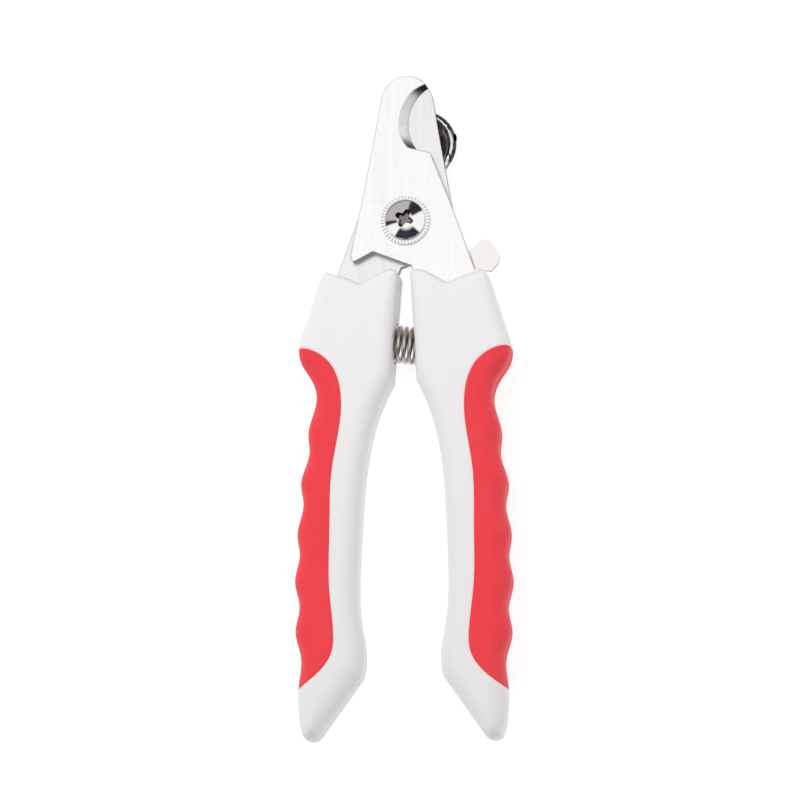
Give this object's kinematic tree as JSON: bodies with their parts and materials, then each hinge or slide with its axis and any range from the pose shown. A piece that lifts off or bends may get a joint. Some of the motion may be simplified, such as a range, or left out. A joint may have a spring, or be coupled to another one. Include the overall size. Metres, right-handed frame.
{
  "type": "pet nail trimmer",
  "caption": "Plier-style pet nail trimmer with two hooked scissor blades, soft-gripped levers, a coil return spring and a swinging quick guard.",
  "frame": {"origin": "on the pivot axis, in the plane of the pivot nut's back face and the levers' backs", "axes": "+X to the right lever seen from the front, +Y from the levers towards the blade tips, +Z out of the front, along the pivot axis"},
  "size_m": [0.0492, 0.153, 0.0124],
  "materials": {
    "blade_steel": "fine satin",
    "plated_steel": "bright plated",
    "guard_chrome": "polished",
    "spring_steel": "oiled wire",
    "nylon": "matte",
    "white_plastic": "satin",
    "red_grip": "soft matte"
  },
  "bodies": {
    "left_half": {"left_handle": "white_plastic", "left_grip": "red_grip", "rear_blade": "blade_steel", "return_spring": "spring_steel"},
    "right_half": {"right_handle": "white_plastic", "right_grip": "red_grip", "front_blade": "blade_steel", "pivot_screw": "plated_steel", "serrated_washer": "plated_steel", "pivot_bush": "plated_steel", "disc_spring": "spring_steel", "back_washer": "plated_steel", "pivot_nut": "plated_steel", "nut_lock_insert": "nylon"},
    "guard": {"guard_plate": "guard_chrome"}
  },
  "joints": [
    {"name": "pivot_hinge", "type": "hinge", "parent": "left_half", "child": "right_half", "pos_m": [0, 0, 0.0062], "axis": [0, 0, 1], "range_deg": [-8, 16], "stiffness_Nm_per_rad": 0.6, "springref_deg": 16.04, "deforming": ["return_spring"]},
    {"name": "guard_swing", "type": "hinge", "parent": "right_half", "child": "guard", "pos_m": [0, 0, 0.0033], "axis": [0, 0, 1], "range_deg": [0, 55]}
  ]
}
